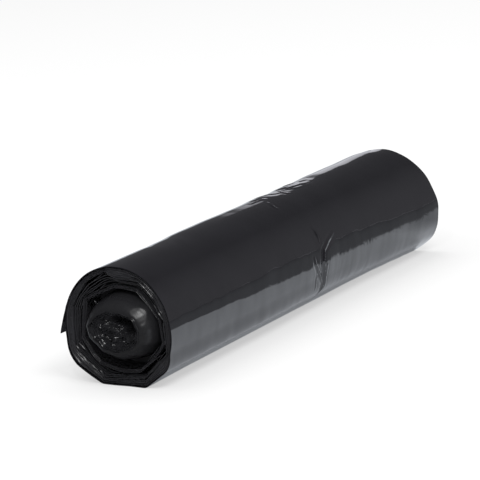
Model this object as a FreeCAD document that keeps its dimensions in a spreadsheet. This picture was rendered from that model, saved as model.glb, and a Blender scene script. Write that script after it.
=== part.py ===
import FreeCAD, Part
import Sketcher
import math
import os

# A coreless roll of folded polyethylene bags that lies on its side.
# X runs along the winding axis, with the crushed nose at -X. Z is up, and the flat spot rests at Z = 0.
# Section angles are in degrees about the winding axis, from +Y towards +Z.

SIZES = (
    ("roll_length", 300.0, "width of the folded bags, along the winding axis"),
    ("roll_radius", 35.0, "winding axis to the outer turn"),
    ("rest_height", 30.4, "winding axis above the flat spot"),
    ("flat_front", 16.3, "flat spot, from below the axis to its front crease"),
    ("flat_back", 12.4, "flat spot, from below the axis to its back crease"),
    ("belly_front", 36.7, "axis to the crease where the outer turn sags, front"),
    ("belly_back", 35.2, "axis to the crease where the outer turn sags, back"),
    ("belly_curve", 17.0, "roundness of the sagging lower sides"),
    ("skin_thickness", 2.4, "outer turns that lie tight at an end"),
    ("turn_gap", 0.9, "air between two loose turns"),
    ("loose_turns", 3.0, "number of loose turns seen at an end"),
    ("turn_drift", 2.0, "sideways drift of the loose turns towards the front"),
    ("near_slant", 3.9, "how far the top of the nose end is set in"),
    ("far_slant", 11.4, "how far the back of the other end is set in"),
    ("dish_depth", 2.0, "how far the innermost loose turn steps in"),
    ("near_gap_depth", 16.0, "depth of the air between turns, nose end"),
    ("far_gap_depth", 8.0, "depth of the air between turns, other end"),
    ("near_recess_depth", 13.0, "ring-shaped hollow round the nose"),
    ("far_recess_depth", 3.6, "hollow left where the inner bundle slid out"),
    ("nose_width", 42.0, "inner bundle at its root, across"),
    ("nose_height", 36.0, "inner bundle at its root, upright"),
    ("nose_clearance", 2.0, "inner bundle to the innermost loose turn"),
    ("nose_reach", 4.5, "nose in front of the end face"),
    ("mouth_width", 34.0, "crushed mouth of the nose, across"),
    ("mouth_height", 22.0, "crushed mouth of the nose, upright"),
    ("nose_rise", 1.3, "middle of the nose above the winding axis"),
    ("mouth_wall", 4.2, "wound film round the hollow of the mouth"),
    ("hollow_depth", 9.0, "depth of the hollow in the mouth"),
    ("fold_thickness", 1.4, "crushed folds that stand in the mouth"),
    ("fold_drop", 2.2, "floor between the crushed folds, below the mouth's edge"),
    ("fold_height", 1.6, "crushed folds above that floor"),
    ("coil_gap", 0.6, "air between the innermost turns"),
    ("coil_depth", 2.4, "depth of the air between the innermost turns"),
    ("tail_length", 17.5, "loose tail, from where it leaves the roll"),
    ("tail_thickness", 1.0, "loose tail, folded film"),
    ("tail_angle", 22.0, "section angle where the tail leaves the roll"),
    ("tail_hook", 1.2, "how far the tail's edge curls back towards the roll"),
)

# The outer turn sags off its round form between these section angles.
ROUND_START = -10.0
ROUND_END = 198.0
BELLY_FRONT = 214.0
BELLY_BACK = 323.0

# Each turn is creased at these section angles, so its corners line up with those of its neighbours.
TURN_CREASES = (74.0, 115.0, 160.0, 193.0, 240.0, 292.0, 326.0, 371.0)

# How round a turn is between two creases: 1 follows the outer turn and 0 is straight.
OUTER_ROUNDNESS = 0.6
INNER_ROUNDNESS = 0.2

# The uneven winding: place as a share of the length from the middle, and how much fuller the roll is there.
WINDING = ((-0.5, -0.4), (-0.31, -0.6), (-0.217, 0.4), (-0.03, -1.2), (0.25, 0.5), (0.5, -0.3))

# The inner bundle: share of the way from its root to its mouth, and how far it has narrowed by then.
NOSE_SHAPE = ((0.0, 0.0), (0.45, 0.06), (0.7, 0.18), (0.86, 0.42), (0.96, 0.74), (1.0, 1.0))
NOSE_POINTS = 16
NOSE_CRUMPLE = 0.025

# The crumple of the inner bundle, as waves round it: their number, and the section angle they are turned by.
NOSE_WAVES = ((5, 0.0), (3, 40.0))

# Crushed folds in the mouth: both ends as shares of the hollow's half width and half height, and the bow.
MOUTH_FOLDS = (
    (-0.50, -0.68, 0.46, -0.50, 0.20),
    (-0.42, -0.22, 0.74, -0.10, -0.16),
    (0.10, 0.46, 0.80, 0.24, 0.18),
)
FOLD_END = 0.35

# The deep hollow in the mouth, as section angles about the mouth and shares of its size.
HOLLOW_START = 88.0
HOLLOW_END = 184.0
HOLLOW_OUTER = 0.96
HOLLOW_INNER = 0.42

# The air between the innermost turns: where it starts, and its ends as shares of the mouth's wall.
COIL_START = 200.0
COIL_TURNS = 1.5
COIL_OUTER = 0.3
COIL_INNER = 0.75
COIL_ARCS = 9

# The loose tail: shares of its length where it starts to curl and where its curl is measured,
# the share of the hook that it has reached there, and how deep its root sits, as a share of its thickness.
TAIL_BEND = 0.7
TAIL_CURL = 0.87
TAIL_CURL_HOOK = 0.33
TAIL_SEAT = 0.3

FLOOR_MARGIN = 4.0
OVERLAP = 1.0
TOUCH = 1e-6


def make_sizes(doc):
    sheet = doc.addObject("Spreadsheet::Sheet", "sizes")
    for row, (alias, value, note) in enumerate(SIZES, start=1):
        sheet.set(f"A{row}", note)
        sheet.set(f"B{row}", str(value))
        sheet.setAlias(f"B{row}", alias)
    doc.recompute()
    return sheet


def polar(radius, angle, centre=(0.0, 0.0)):
    turned = math.radians(angle)
    return FreeCAD.Vector(centre[0] + radius * math.cos(turned), centre[1] + radius * math.sin(turned), 0)


def oval(half_width, half_height, angle, centre=(0.0, 0.0)):
    turned = math.radians(angle)
    across = centre[0] + half_width * math.cos(turned)
    return FreeCAD.Vector(across, centre[1] + half_height * math.sin(turned), 0)


def origin_plane(body, role):
    return next(plane for plane in body.Origin.OriginFeatures if plane.Role == role)


def cross_sketch(body, name, station, tilt=0.0):
    """A sketch across the roll, centred on the winding axis, at the X that an expression gives.
    A tilt in degrees sets its back side in towards -X."""
    sketch = body.newObject("Sketcher::SketchObject", name)
    sketch.AttachmentSupport = (origin_plane(body, "YZ_Plane"), [""])
    sketch.MapMode = "FlatFace"
    upright = FreeCAD.Vector(0, 1, 0)
    sketch.AttachmentOffset = FreeCAD.Placement(FreeCAD.Vector(), FreeCAD.Rotation(upright, tilt))
    sketch.setExpression("AttachmentOffset.Base.y", "sizes.rest_height")
    sketch.setExpression("AttachmentOffset.Base.z", station)
    return sketch


def draw_loop(sketch, edges):
    """Adds edges that form one closed outline and ties each to the next where they meet."""
    first = sketch.GeometryCount
    sketch.addGeometry(edges, False)
    for step in range(len(edges)):
        edge = first + step
        following = first + (step + 1) % len(edges)
        for end in (1, 2):
            for start in (1, 2):
                if sketch.getPoint(edge, end).distanceToPoint(sketch.getPoint(following, start)) < TOUCH:
                    sketch.addConstraint(Sketcher.Constraint("Coincident", edge, end, following, start))
    return first


def bind(sketch, name, formula, constraint):
    index = sketch.addConstraint(constraint)
    sketch.renameConstraint(index, name)
    sketch.setExpression(f"Constraints.{name}", formula)


def bind_point(sketch, name, edge, point, across, upright):
    """Holds an edge's start at the place that two formulas give."""
    bind(sketch, f"{name}_across", across, Sketcher.Constraint("DistanceX", -1, 1, edge, 1, point.x))
    bind(sketch, f"{name}_upright", upright, Sketcher.Constraint("DistanceY", -1, 1, edge, 1, point.y))


def arc_of_radius(start, end, radius):
    """An arc from start to end that bulges to the right of the way between them."""
    chord = end.sub(start)
    half = chord.Length / 2
    rise = math.sqrt(radius**2 - half**2)
    inward = FreeCAD.Vector(-chord.y, chord.x, 0).normalize()
    centre = (start + end) * 0.5 + inward * rise
    middle = centre - inward * radius
    return Part.Arc(start, middle, end)


def below_floor(crease, corner):
    """Runs the line from a belly crease through a corner of the flat spot on, to under the floor."""
    way = corner.sub(crease)
    return corner + way * (FLOOR_MARGIN / -way.y)


def section_corners(sheet, swell):
    front = polar(sheet.belly_front + swell, BELLY_FRONT)
    back = polar(sheet.belly_back + swell, BELLY_BACK)
    front_floor = FreeCAD.Vector(-sheet.flat_front, -sheet.rest_height, 0)
    back_floor = FreeCAD.Vector(sheet.flat_back, -sheet.rest_height, 0)
    return front, front_floor, back_floor, back


def draw_section(sketch, sheet, swell):
    """The outer turn: round over the top, sagging at both lower sides, and cut flat below later."""
    radius = sheet.roll_radius + swell
    start = polar(radius, ROUND_START)
    end = polar(radius, ROUND_END)
    front, front_floor, back_floor, back = section_corners(sheet, swell)
    front_low = below_floor(front, front_floor)
    back_low = below_floor(back, back_floor)
    edges = [
        Part.Arc(start, polar(radius, (ROUND_START + ROUND_END) / 2), end),
        arc_of_radius(end, front, sheet.belly_curve),
        Part.LineSegment(front, front_low),
        Part.LineSegment(front_low, back_low),
        Part.LineSegment(back_low, back),
        arc_of_radius(back, start, sheet.belly_curve),
    ]
    first = draw_loop(sketch, edges)
    sketch.addConstraint(Sketcher.Constraint("Coincident", first, 3, -1, 1))
    bind(sketch, "round", f"sizes.roll_radius + {swell}", Sketcher.Constraint("Radius", first, radius))
    bind(
        sketch, "round_start", f"(sizes.roll_radius + {swell}) * sin({ROUND_START})",
        Sketcher.Constraint("DistanceY", -1, 1, first, 1, start.y),
    )
    bind(
        sketch, "round_end", f"(sizes.roll_radius + {swell}) * sin({ROUND_END})",
        Sketcher.Constraint("DistanceY", -1, 1, first, 2, end.y),
    )
    for name, edge in (("front_sag", first + 1), ("back_sag", first + 5)):
        bind(sketch, name, "sizes.belly_curve", Sketcher.Constraint("Radius", edge, sheet.belly_curve))
    corners = (
        ("front", front, first + 2, BELLY_FRONT, "-sizes.flat_front", front_low),
        ("back", back, first + 5, BELLY_BACK, "sizes.flat_back", back_low),
    )
    for name, crease, edge, angle, flat, low in corners:
        belly = f"(sizes.belly_{name} + {swell})"
        across = f"{belly} * cos({angle})"
        upright = f"{belly} * sin({angle})"
        bind_point(sketch, name, edge, crease, across, upright)
        share = f"{FLOOR_MARGIN} / ({upright} + sizes.rest_height)"
        low_across = f"{flat} + ({flat} - {across}) * {share}"
        low_edge = first + 3 if name == "front" else first + 4
        bind_point(sketch, f"{name}_low", low_edge, low, low_across, f"-sizes.rest_height - {FLOOR_MARGIN}")


def ray_to_line(start, end, angle):
    """Distance from the winding axis, at a section angle, to the straight line through two points."""
    turned = math.radians(angle)
    way = end.sub(start)
    return (start.x * way.y - start.y * way.x) / (math.cos(turned) * way.y - math.sin(turned) * way.x)


def outer_radius(sheet, angle):
    """Distance from the winding axis to the outer turn, with its sagging sides taken as straight."""
    angle = (angle - ROUND_START) % 360 + ROUND_START
    if angle <= ROUND_END:
        return sheet.roll_radius
    corners = (
        polar(sheet.roll_radius, ROUND_END),
        *section_corners(sheet, 0.0),
        polar(sheet.roll_radius, ROUND_START),
    )
    for start, end in zip(corners, corners[1:]):
        if angle <= math.degrees(math.atan2(end.y, end.x)) % 360:
            return ray_to_line(start, end, angle)
    return sheet.roll_radius


def turn_pitch(sheet):
    """The loose turns share the room between the tight outer turns and the hollow round the nose."""
    room = sheet.roll_radius - sheet.skin_thickness - recess_radius(sheet)
    return room / (sheet.loose_turns + 1)


def recess_radius(sheet):
    return sheet.nose_width / 2 + sheet.nose_clearance


def turn_arcs(sheet, angles, depths):
    """Arcs from crease to crease, each crease at a depth below the outer turn."""
    deepest = sheet.roll_radius - recess_radius(sheet)
    points = []
    for angle, depth in zip(angles, depths):
        drift = -sheet.turn_drift * depth / deepest
        points.append(polar(outer_radius(sheet, angle) - depth, angle, (drift, 0.0)))
    arcs = []
    for step in range(len(angles) - 1):
        angle = (angles[step] + angles[step + 1]) / 2
        depth = (depths[step] + depths[step + 1]) / 2
        drift = -sheet.turn_drift * depth / deepest
        straight = (points[step] + points[step + 1]) * 0.5
        round_point = polar(outer_radius(sheet, angle) - depth, angle, (drift, 0.0))
        roundness = OUTER_ROUNDNESS + (INNER_ROUNDNESS - OUTER_ROUNDNESS) * depth / deepest
        arcs.append(Part.Arc(points[step], straight + (round_point - straight) * roundness, points[step + 1]))
    return points, arcs


def crease_angles(turns):
    return [crease + 360 * turn for turn in range(turns) for crease in TURN_CREASES]


def draw_gap(sketch, sheet):
    """The spiral of air between the loose turns."""
    angles = crease_angles(round(sheet.loose_turns)) + [TURN_CREASES[0] + 360 * round(sheet.loose_turns)]
    pitch = turn_pitch(sheet)
    depths = [sheet.skin_thickness + pitch * (angle - angles[0]) / 360 for angle in angles]
    outer_points, outer_arcs = turn_arcs(sheet, angles, depths)
    inner_points, inner_arcs = turn_arcs(sheet, angles, [depth + sheet.turn_gap for depth in depths])
    for arc in inner_arcs:
        arc.reverse()
    edges = outer_arcs
    edges.append(Part.LineSegment(outer_points[-1], inner_points[-1]))
    edges.extend(reversed(inner_arcs))
    edges.append(Part.LineSegment(inner_points[0], outer_points[0]))
    draw_loop(sketch, edges)


def draw_recess(sketch, sheet):
    """The creased hollow inside the innermost loose turn."""
    angles = crease_angles(1) + [TURN_CREASES[0] + 360]
    depth = sheet.roll_radius - recess_radius(sheet)
    draw_loop(sketch, turn_arcs(sheet, angles, [depth] * len(angles))[1])


def nose_middle(sheet):
    return (-sheet.turn_drift, sheet.nose_rise)


def draw_nose(sketch, sheet, narrowing):
    """A section of the inner bundle, more crumpled the more it has narrowed."""
    half_width = (sheet.nose_width + (sheet.mouth_width - sheet.nose_width) * narrowing) / 2
    half_height = (sheet.nose_height + (sheet.mouth_height - sheet.nose_height) * narrowing) / 2
    points = []
    for step in range(NOSE_POINTS):
        angle = 360.0 * step / NOSE_POINTS
        waves = [math.sin(math.radians(count * angle + turned)) for count, turned in NOSE_WAVES]
        size = 1 + NOSE_CRUMPLE * narrowing * sum(waves) / len(waves)
        points.append(oval(half_width * size, half_height * size, angle, nose_middle(sheet)))
    curve = Part.BSplineCurve()
    curve.interpolate(Points=points, PeriodicFlag=True)
    sketch.addGeometry(curve, False)


def mouth_oval(sheet, inset, angle, share=1.0):
    """A point of the mouth's outline, moved in by an inset and shrunk to a share about its centre."""
    half_width = (sheet.mouth_width / 2 - inset) * share
    half_height = (sheet.mouth_height / 2 - inset) * share
    return oval(half_width, half_height, angle, nose_middle(sheet))


def draw_coil(sketch, sheet):
    """The spiral of air between the innermost turns, round the mouth."""
    room = sheet.mouth_wall - sheet.coil_gap
    sides = ([], [])
    for step in range(2 * COIL_ARCS + 1):
        share = step / (2 * COIL_ARCS)
        angle = COIL_START + 360.0 * COIL_TURNS * share
        inset = room * (COIL_OUTER + (COIL_INNER - COIL_OUTER) * share)
        sides[0].append(mouth_oval(sheet, inset, angle))
        sides[1].append(mouth_oval(sheet, inset + sheet.coil_gap, angle))
    sides[1].reverse()
    edges = []
    for points, following in (sides, sides[::-1]):
        for step in range(0, 2 * COIL_ARCS, 2):
            edges.append(Part.Arc(*points[step:step + 3]))
        edges.append(Part.LineSegment(points[-1], following[0]))
    draw_loop(sketch, edges)


def draw_fold_floor(sketch, sheet):
    centre = FreeCAD.Vector(*nose_middle(sheet), 0)
    side = mouth_oval(sheet, sheet.mouth_wall, 0.0)
    top = mouth_oval(sheet, sheet.mouth_wall, 90.0)
    sketch.addGeometry(Part.Ellipse(side, top, centre), False)


def draw_hollow(sketch, sheet):
    """The deep crescent that the crushed folds leave open, at the mouth's upper front."""
    middle = (HOLLOW_START + HOLLOW_END) / 2
    outer = []
    inner = []
    for angle in (HOLLOW_START, middle, HOLLOW_END):
        outer.append(mouth_oval(sheet, sheet.mouth_wall, angle, HOLLOW_OUTER))
        inner.append(mouth_oval(sheet, sheet.mouth_wall, angle, HOLLOW_INNER))
    edges = [
        Part.Arc(*outer),
        Part.LineSegment(outer[-1], inner[-1]),
        Part.Arc(*reversed(inner)),
        Part.LineSegment(inner[0], outer[0]),
    ]
    draw_loop(sketch, edges)


def draw_folds(sketch, sheet):
    """Crushed folds that stand in the mouth, thickest at their middle."""
    half_width = sheet.mouth_width / 2 - sheet.mouth_wall
    half_height = sheet.mouth_height / 2 - sheet.mouth_wall
    centre = FreeCAD.Vector(*nose_middle(sheet), 0)
    for start_across, start_up, end_across, end_up, bow in MOUTH_FOLDS:
        start = centre + FreeCAD.Vector(start_across * half_width, start_up * half_height, 0)
        end = centre + FreeCAD.Vector(end_across * half_width, end_up * half_height, 0)
        side = FreeCAD.Vector(start.y - end.y, end.x - start.x, 0).normalize()
        blunt = side * (sheet.fold_thickness * FOLD_END / 2)
        middle = (start + end) * 0.5 + side * (bow * half_height)
        swell = side * (sheet.fold_thickness / 2)
        edges = [
            Part.Arc(start + blunt, middle + swell, end + blunt),
            Part.LineSegment(end + blunt, end - blunt),
            Part.Arc(end - blunt, middle - swell, start - blunt),
            Part.LineSegment(start - blunt, start + blunt),
        ]
        draw_loop(sketch, edges)


def draw_tail(sketch, sheet):
    """The loose end leaves the outer turn in line with it, and its edge curls back a little."""
    root = polar(sheet.roll_radius, sheet.tail_angle)
    along = polar(1.0, sheet.tail_angle - 90)
    inward = polar(-1.0, sheet.tail_angle)
    thick = inward * sheet.tail_thickness
    bend = root + along * (sheet.tail_length * TAIL_BEND)
    tip = root + along * sheet.tail_length + inward * sheet.tail_hook
    halfway = root + along * (sheet.tail_length * TAIL_CURL) + inward * (sheet.tail_hook * TAIL_CURL_HOOK)
    start = root - along * sheet.tail_thickness + inward * (sheet.tail_thickness * TAIL_SEAT)
    edges = [
        Part.LineSegment(start, bend),
        Part.Arc(bend, halfway, tip),
        Part.LineSegment(tip, tip + thick),
        Part.Arc(tip + thick, halfway + thick, bend + thick),
        Part.LineSegment(bend + thick, start + thick),
        Part.LineSegment(start + thick, start),
    ]
    draw_loop(sketch, edges)


def pocket(body, sketch, depth, reverse):
    cut = body.newObject("PartDesign::Pocket", f"{sketch.Name}_cut")
    cut.Profile = sketch
    cut.setExpression("Length", depth)
    cut.Reversed = reverse
    return cut


def pad(body, sketch, length, reverse=False):
    added = body.newObject("PartDesign::Pad", f"{sketch.Name}_pad")
    added.Profile = sketch
    added.setExpression("Length", length)
    added.Reversed = reverse
    return added


def wind_outer_turn(body, sheet):
    sections = []
    for count, (share, swell) in enumerate(WINDING):
        sketch = cross_sketch(body, f"section_{count}", f"sizes.roll_length * {share}")
        draw_section(sketch, sheet, swell)
        sections.append(sketch)
    loft = body.newObject("PartDesign::AdditiveLoft", "outer_turn")
    loft.Profile = sections[0]
    loft.Sections = sections[1:]
    loft.Ruled = True
    return loft


def flatten_below(body, sheet):
    """The roll's own weight gives it a true flat spot to rest on."""
    sketch = body.newObject("Sketcher::SketchObject", "flat_spot")
    sketch.AttachmentSupport = (origin_plane(body, "XY_Plane"), [""])
    sketch.MapMode = "FlatFace"
    half_length = sheet.roll_length / 2 + OVERLAP
    half_width = sheet.roll_radius + FLOOR_MARGIN
    corners = [
        FreeCAD.Vector(-half_length, -half_width, 0),
        FreeCAD.Vector(half_length, -half_width, 0),
        FreeCAD.Vector(half_length, half_width, 0),
        FreeCAD.Vector(-half_length, half_width, 0),
    ]
    first = draw_loop(sketch, [Part.LineSegment(a, b) for a, b in zip(corners, corners[1:] + corners[:1])])
    for edge in (first, first + 2):
        sketch.addConstraint(Sketcher.Constraint("Horizontal", edge))
        sketch.addConstraint(Sketcher.Constraint("Vertical", edge + 1))
    sketch.addConstraint(Sketcher.Constraint("Symmetric", first, 1, first + 1, 2, -1, 1))
    half = "sizes.roll_radius + " + str(FLOOR_MARGIN)
    bind(
        sketch, "half_length", f"sizes.roll_length / 2 + {OVERLAP}",
        Sketcher.Constraint("DistanceX", -1, 1, first + 1, 2, half_length),
    )
    bind(sketch, "half_width", half, Sketcher.Constraint("DistanceY", -1, 1, first + 1, 2, half_width))
    return pocket(body, sketch, f"{FLOOR_MARGIN + OVERLAP}", False)


def slant_end(body, name, plane, face, lean, low, high):
    """Cuts a wedge off an end. Its sketch stands on a plane along the roll and spans from low to high,
    and the end leans away from its face by lean, for each mm above low."""
    sketch = body.newObject("Sketcher::SketchObject", f"{name}_slant")
    sketch.AttachmentSupport = (origin_plane(body, plane), [""])
    sketch.MapMode = "FlatFace"
    outside = face - lean * FLOOR_MARGIN
    inside = face + lean * (high - low + FLOOR_MARGIN)
    corners = [
        FreeCAD.Vector(outside, low - FLOOR_MARGIN, 0),
        FreeCAD.Vector(outside, high + FLOOR_MARGIN, 0),
        FreeCAD.Vector(inside, high + FLOOR_MARGIN, 0),
    ]
    draw_loop(sketch, [Part.LineSegment(a, b) for a, b in zip(corners, corners[1:] + corners[:1])])
    return sketch


def slant_ends(body, sheet):
    """The web ran unevenly: the top of the nose end and the back of the other end are set in."""
    half_length = sheet.roll_length / 2
    lean = sheet.near_slant / (sheet.rest_height + sheet.roll_radius)
    near = slant_end(body, "near", "XZ_Plane", -half_length, lean, -sheet.rest_height, sheet.roll_radius)
    near.setExpression("AttachmentOffset.Base.y", "sizes.rest_height")
    near.setExpression("AttachmentOffset.Base.z", f"sizes.roll_radius + {FLOOR_MARGIN}")
    near_cut = pocket(body, near, f"2 * (sizes.roll_radius + {FLOOR_MARGIN})", False)
    lean = -sheet.far_slant / (2 * sheet.roll_radius)
    far = slant_end(body, "far", "XY_Plane", half_length, lean, -sheet.roll_radius, sheet.roll_radius)
    above = f"sizes.rest_height + sizes.roll_radius + {FLOOR_MARGIN}"
    far.setExpression("AttachmentOffset.Base.z", above)
    far_cut = pocket(body, far, f"{above} + {FLOOR_MARGIN + OVERLAP}", False)
    return [near_cut, far_cut]


def dish_near_end(body, sheet):
    """The loose turns step in towards the nose."""
    sketch = body.newObject("Sketcher::SketchObject", "near_dish")
    sketch.AttachmentSupport = (origin_plane(body, "XZ_Plane"), [""])
    sketch.MapMode = "FlatFace"
    sketch.setExpression("AttachmentOffset.Base.y", "sizes.rest_height")
    face = -sheet.roll_length / 2
    inside = face + sheet.dish_depth
    rim = sheet.roll_radius - sheet.skin_thickness
    corners = [
        FreeCAD.Vector(face - OVERLAP, 0, 0),
        FreeCAD.Vector(face - OVERLAP, rim, 0),
        FreeCAD.Vector(face, rim, 0),
        FreeCAD.Vector(inside, recess_radius(sheet), 0),
        FreeCAD.Vector(inside, 0, 0),
    ]
    draw_loop(sketch, [Part.LineSegment(a, b) for a, b in zip(corners, corners[1:] + corners[:1])])
    groove = body.newObject("PartDesign::Groove", "near_dish_cut")
    groove.Profile = sketch
    groove.ReferenceAxis = (sketch, ["H_Axis"])
    groove.Angle = 360
    return groove


def open_ends(body, sheet):
    """The hollow inside the loose turns and the spiral of air between them, at both ends."""
    cuts = []
    far_tilt = math.degrees(math.atan2(sheet.far_slant, 2 * sheet.roll_radius))
    ends = (
        ("near", "-sizes.roll_length / 2", 0.0, True),
        ("far", "sizes.roll_length / 2 - sizes.far_slant / 2", far_tilt, False),
    )
    for name, station, tilt, reverse in ends:
        recess = cross_sketch(body, f"{name}_recess", station, tilt)
        draw_recess(recess, sheet)
        cuts.append(pocket(body, recess, f"sizes.{name}_recess_depth", reverse))
        gap = cross_sketch(body, f"{name}_gap", station, tilt)
        draw_gap(gap, sheet)
        cuts.append(pocket(body, gap, f"sizes.{name}_gap_depth", reverse))
    return cuts


def raise_nose(body, sheet):
    """The inner bundle that has slid out, crushed at its mouth."""
    root = f"(-sizes.roll_length / 2 + sizes.near_recess_depth + {OVERLAP})"
    reach = f"(sizes.near_recess_depth + {OVERLAP} + sizes.nose_reach)"
    sections = []
    for count, (share, narrowing) in enumerate(NOSE_SHAPE):
        sketch = cross_sketch(body, f"nose_{count}", f"{root} - {reach} * {share}")
        draw_nose(sketch, sheet, narrowing)
        sections.append(sketch)
    loft = body.newObject("PartDesign::AdditiveLoft", "nose")
    loft.Profile = sections[0]
    loft.Sections = sections[1:]
    loft.Ruled = True
    return loft


def crush_mouth(body, sheet):
    mouth = "-sizes.roll_length / 2 - sizes.nose_reach"
    coil = cross_sketch(body, "mouth_coil", mouth)
    draw_coil(coil, sheet)
    coil_cut = pocket(body, coil, "sizes.coil_depth", True)
    floor = cross_sketch(body, "fold_floor", mouth)
    draw_fold_floor(floor, sheet)
    floor_cut = pocket(body, floor, "sizes.fold_drop", True)
    hollow = cross_sketch(body, "mouth_hollow", mouth)
    draw_hollow(hollow, sheet)
    hollow_cut = pocket(body, hollow, "sizes.hollow_depth", True)
    folds = cross_sketch(body, "mouth_folds", f"{mouth} + sizes.fold_drop + {OVERLAP}")
    draw_folds(folds, sheet)
    folds_pad = pad(body, folds, f"sizes.fold_height + {OVERLAP}", True)
    return [coil_cut, floor_cut, hollow_cut], folds_pad


def loosen_tail(body, sheet):
    sketch = cross_sketch(body, "tail", "-sizes.roll_length / 2 + sizes.near_slant / 2")
    draw_tail(sketch, sheet)
    return pad(body, sketch, "sizes.roll_length - sizes.near_slant / 2 - sizes.far_slant")


def previous_volume(body, feature):
    place = body.Group.index(feature)
    solids = [item for item in body.Group[:place] if not item.isDerivedFrom("Sketcher::SketchObject")]
    return solids[-1].Shape.Volume


def check_states(doc):
    for item in doc.Objects:
        if "Invalid" in item.State or "Error" in item.State:
            raise RuntimeError(f"{item.Name} failed: {item.State}")


def main():
    doc = FreeCAD.newDocument("bag_roll")
    sheet = make_sizes(doc)
    body = doc.addObject("PartDesign::Body", "roll_body")
    body.Label = "bag_roll"
    wind_outer_turn(body, sheet)
    cuts = [flatten_below(body, sheet)]
    cuts += slant_ends(body, sheet)
    cuts += [dish_near_end(body, sheet)]
    cuts += open_ends(body, sheet)
    added = [raise_nose(body, sheet)]
    mouth_cuts, folds = crush_mouth(body, sheet)
    cuts += mouth_cuts
    added += [folds, loosen_tail(body, sheet)]
    doc.recompute()
    check_states(doc)
    for cut in cuts:
        if cut.Shape.Volume >= previous_volume(body, cut) - 1:
            raise RuntimeError(f"{cut.Name} cuts nothing")
    for piece in added:
        if piece.Shape.Volume <= previous_volume(body, piece) + 1:
            raise RuntimeError(f"{piece.Name} adds nothing")
    if body.Shape.isNull() or not body.Shape.isValid() or len(body.Shape.Solids) != 1:
        raise RuntimeError("the roll is not one valid solid")
    os.makedirs("parts", exist_ok=True)
    body.Shape.exportStep(f"parts/{body.Label}.step")
    print(body.Label, round(body.Shape.Volume), body.Shape.BoundBox)


main()
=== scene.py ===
import math

import bpy
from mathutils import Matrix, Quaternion, Vector, noise


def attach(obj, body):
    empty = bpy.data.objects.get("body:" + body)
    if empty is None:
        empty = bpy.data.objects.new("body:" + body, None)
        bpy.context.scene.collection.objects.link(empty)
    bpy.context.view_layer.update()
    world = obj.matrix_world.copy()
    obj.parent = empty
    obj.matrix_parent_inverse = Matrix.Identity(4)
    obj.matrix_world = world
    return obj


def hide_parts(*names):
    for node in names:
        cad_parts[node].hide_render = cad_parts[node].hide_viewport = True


bl_info = {
    "name": "Bin Bag Roll",
    "version": (1, 0, 0),
    "blender": (4, 5, 0),
    "location": "3D View > Sidebar > Bag Roll",
    "description": "A coreless roll of glossy black bin bags, dressed round its packed model",
    "category": "Add Mesh",
}

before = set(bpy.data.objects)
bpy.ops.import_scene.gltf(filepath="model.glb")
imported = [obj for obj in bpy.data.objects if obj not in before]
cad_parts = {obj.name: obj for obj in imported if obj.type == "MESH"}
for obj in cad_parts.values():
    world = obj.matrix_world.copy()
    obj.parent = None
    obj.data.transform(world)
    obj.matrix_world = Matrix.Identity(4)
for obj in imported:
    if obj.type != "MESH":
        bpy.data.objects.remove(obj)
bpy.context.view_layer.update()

# Lengths in the code are millimetres, and MM turns them into Blender's metres.
# X runs along the winding axis with the nose at -X, and section angles go from +Y towards +Z.
MM = 0.001

BODY = "root"
CAD_NODE = "bag_roll"

# Section angles where the outer turn leaves its round form and sags.
ROUND_START = -10.0
ROUND_END = 198.0
BELLY_FRONT = 214.0
BELLY_BACK = 323.0
BELLY_FRONT_BULGE = 1.0
BELLY_BACK_BULGE = 2.0

# The uneven winding: place along the roll, and how much fuller it is there, on top and at the front below.
WINDING = (
    (-150, 0.0), (-107, -0.1), (-98, -0.3), (-83, -0.2), (-66, 0.3), (-44, 0.3), (-20, 0.0), (-4, -0.2),
    (4, -0.2), (10, 0.0), (15, 0.1), (22, -0.2), (33, -0.5), (42, -0.1), (49, -0.1), (54, -0.4),
    (60, -0.3), (76, 0.1), (96, 0.1), (110, 0.0), (136, 0.2), (150, -0.5),
)
FRONT_EDGE = (
    (-150, 0.1), (-121, -0.6), (-107, -0.9), (33, -1.4), (61, -1.8), (89, -1.5), (115, -0.4), (131, 0.8),
    (150, 1.8),
)

# How the far end sags: section angle, and how much fuller it is there. The sag comes in between two places.
FAR_SAG = (
    (90, 0.0), (132, -1.2), (158, -1.1), (186, 0.8), (204, 1.9), (217, 2.3), (231, 2.0), (246, 0.6),
)
FAR_SAG_START = 30.0
FAR_SAG_END = 140.0

# The creased front below grows round between two places. It then follows the outer turn down to ROUND_FRONT.
ROUNDING_START = -70.0
ROUNDING_END = 80.0
ROUND_FRONT = 208.0

# Section angle straight below the winding axis, where the front ends and the back starts.
STRAIGHT_DOWN = 270.0

# How far along the roll the slant of each end reaches.
NEAR_SLANT_REACH = 70.0
FAR_SLANT_REACH = 80.0

# The uneven winding shows over the top: the middle of that stretch, its half width, fade and share elsewhere.
SWELL_ANGLE = 56.0
SWELL_REACH = 52.0
SWELL_FADE = 26.0
SWELL_ELSEWHERE = 0.1

# Ripples of the outer turn: height, length along the roll, shift along it, and how many go round it.
RIPPLES = ((3.0, 17, 0, 1.6), (1.25, 6.3, 40, 2.3), (0.35, 2.6, 90, 4.4))

# The calm stretch of film on top: its middle, half width and fade, and the share of the ripples left there.
CALM_ANGLE = 62.0
CALM_REACH = 30.0
CALM_FADE = 50.0
CALM_SHARE = 0.12

# Everything that lifts the film fades out on the flat spot, between two sines of the section angle.
FLAT_SINE = -0.86
FREE_SINE = -0.46

# Columns and rows of the outer turn: the end of each stretch and the spacing up to there.
COLUMNS = ((-146, 0.8), (-24, 2.0), (-2, 1.0), (32, 0.45), (66, 0.9), (146, 2.0), (150, 0.8))
ROWS = ((64, 2.6), (140, 2.0), (232, 1.1), (252, 1.6), (276, 5.0), (330, 3.0), (395, 5.0))
TAIL_STEPS = 14

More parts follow.
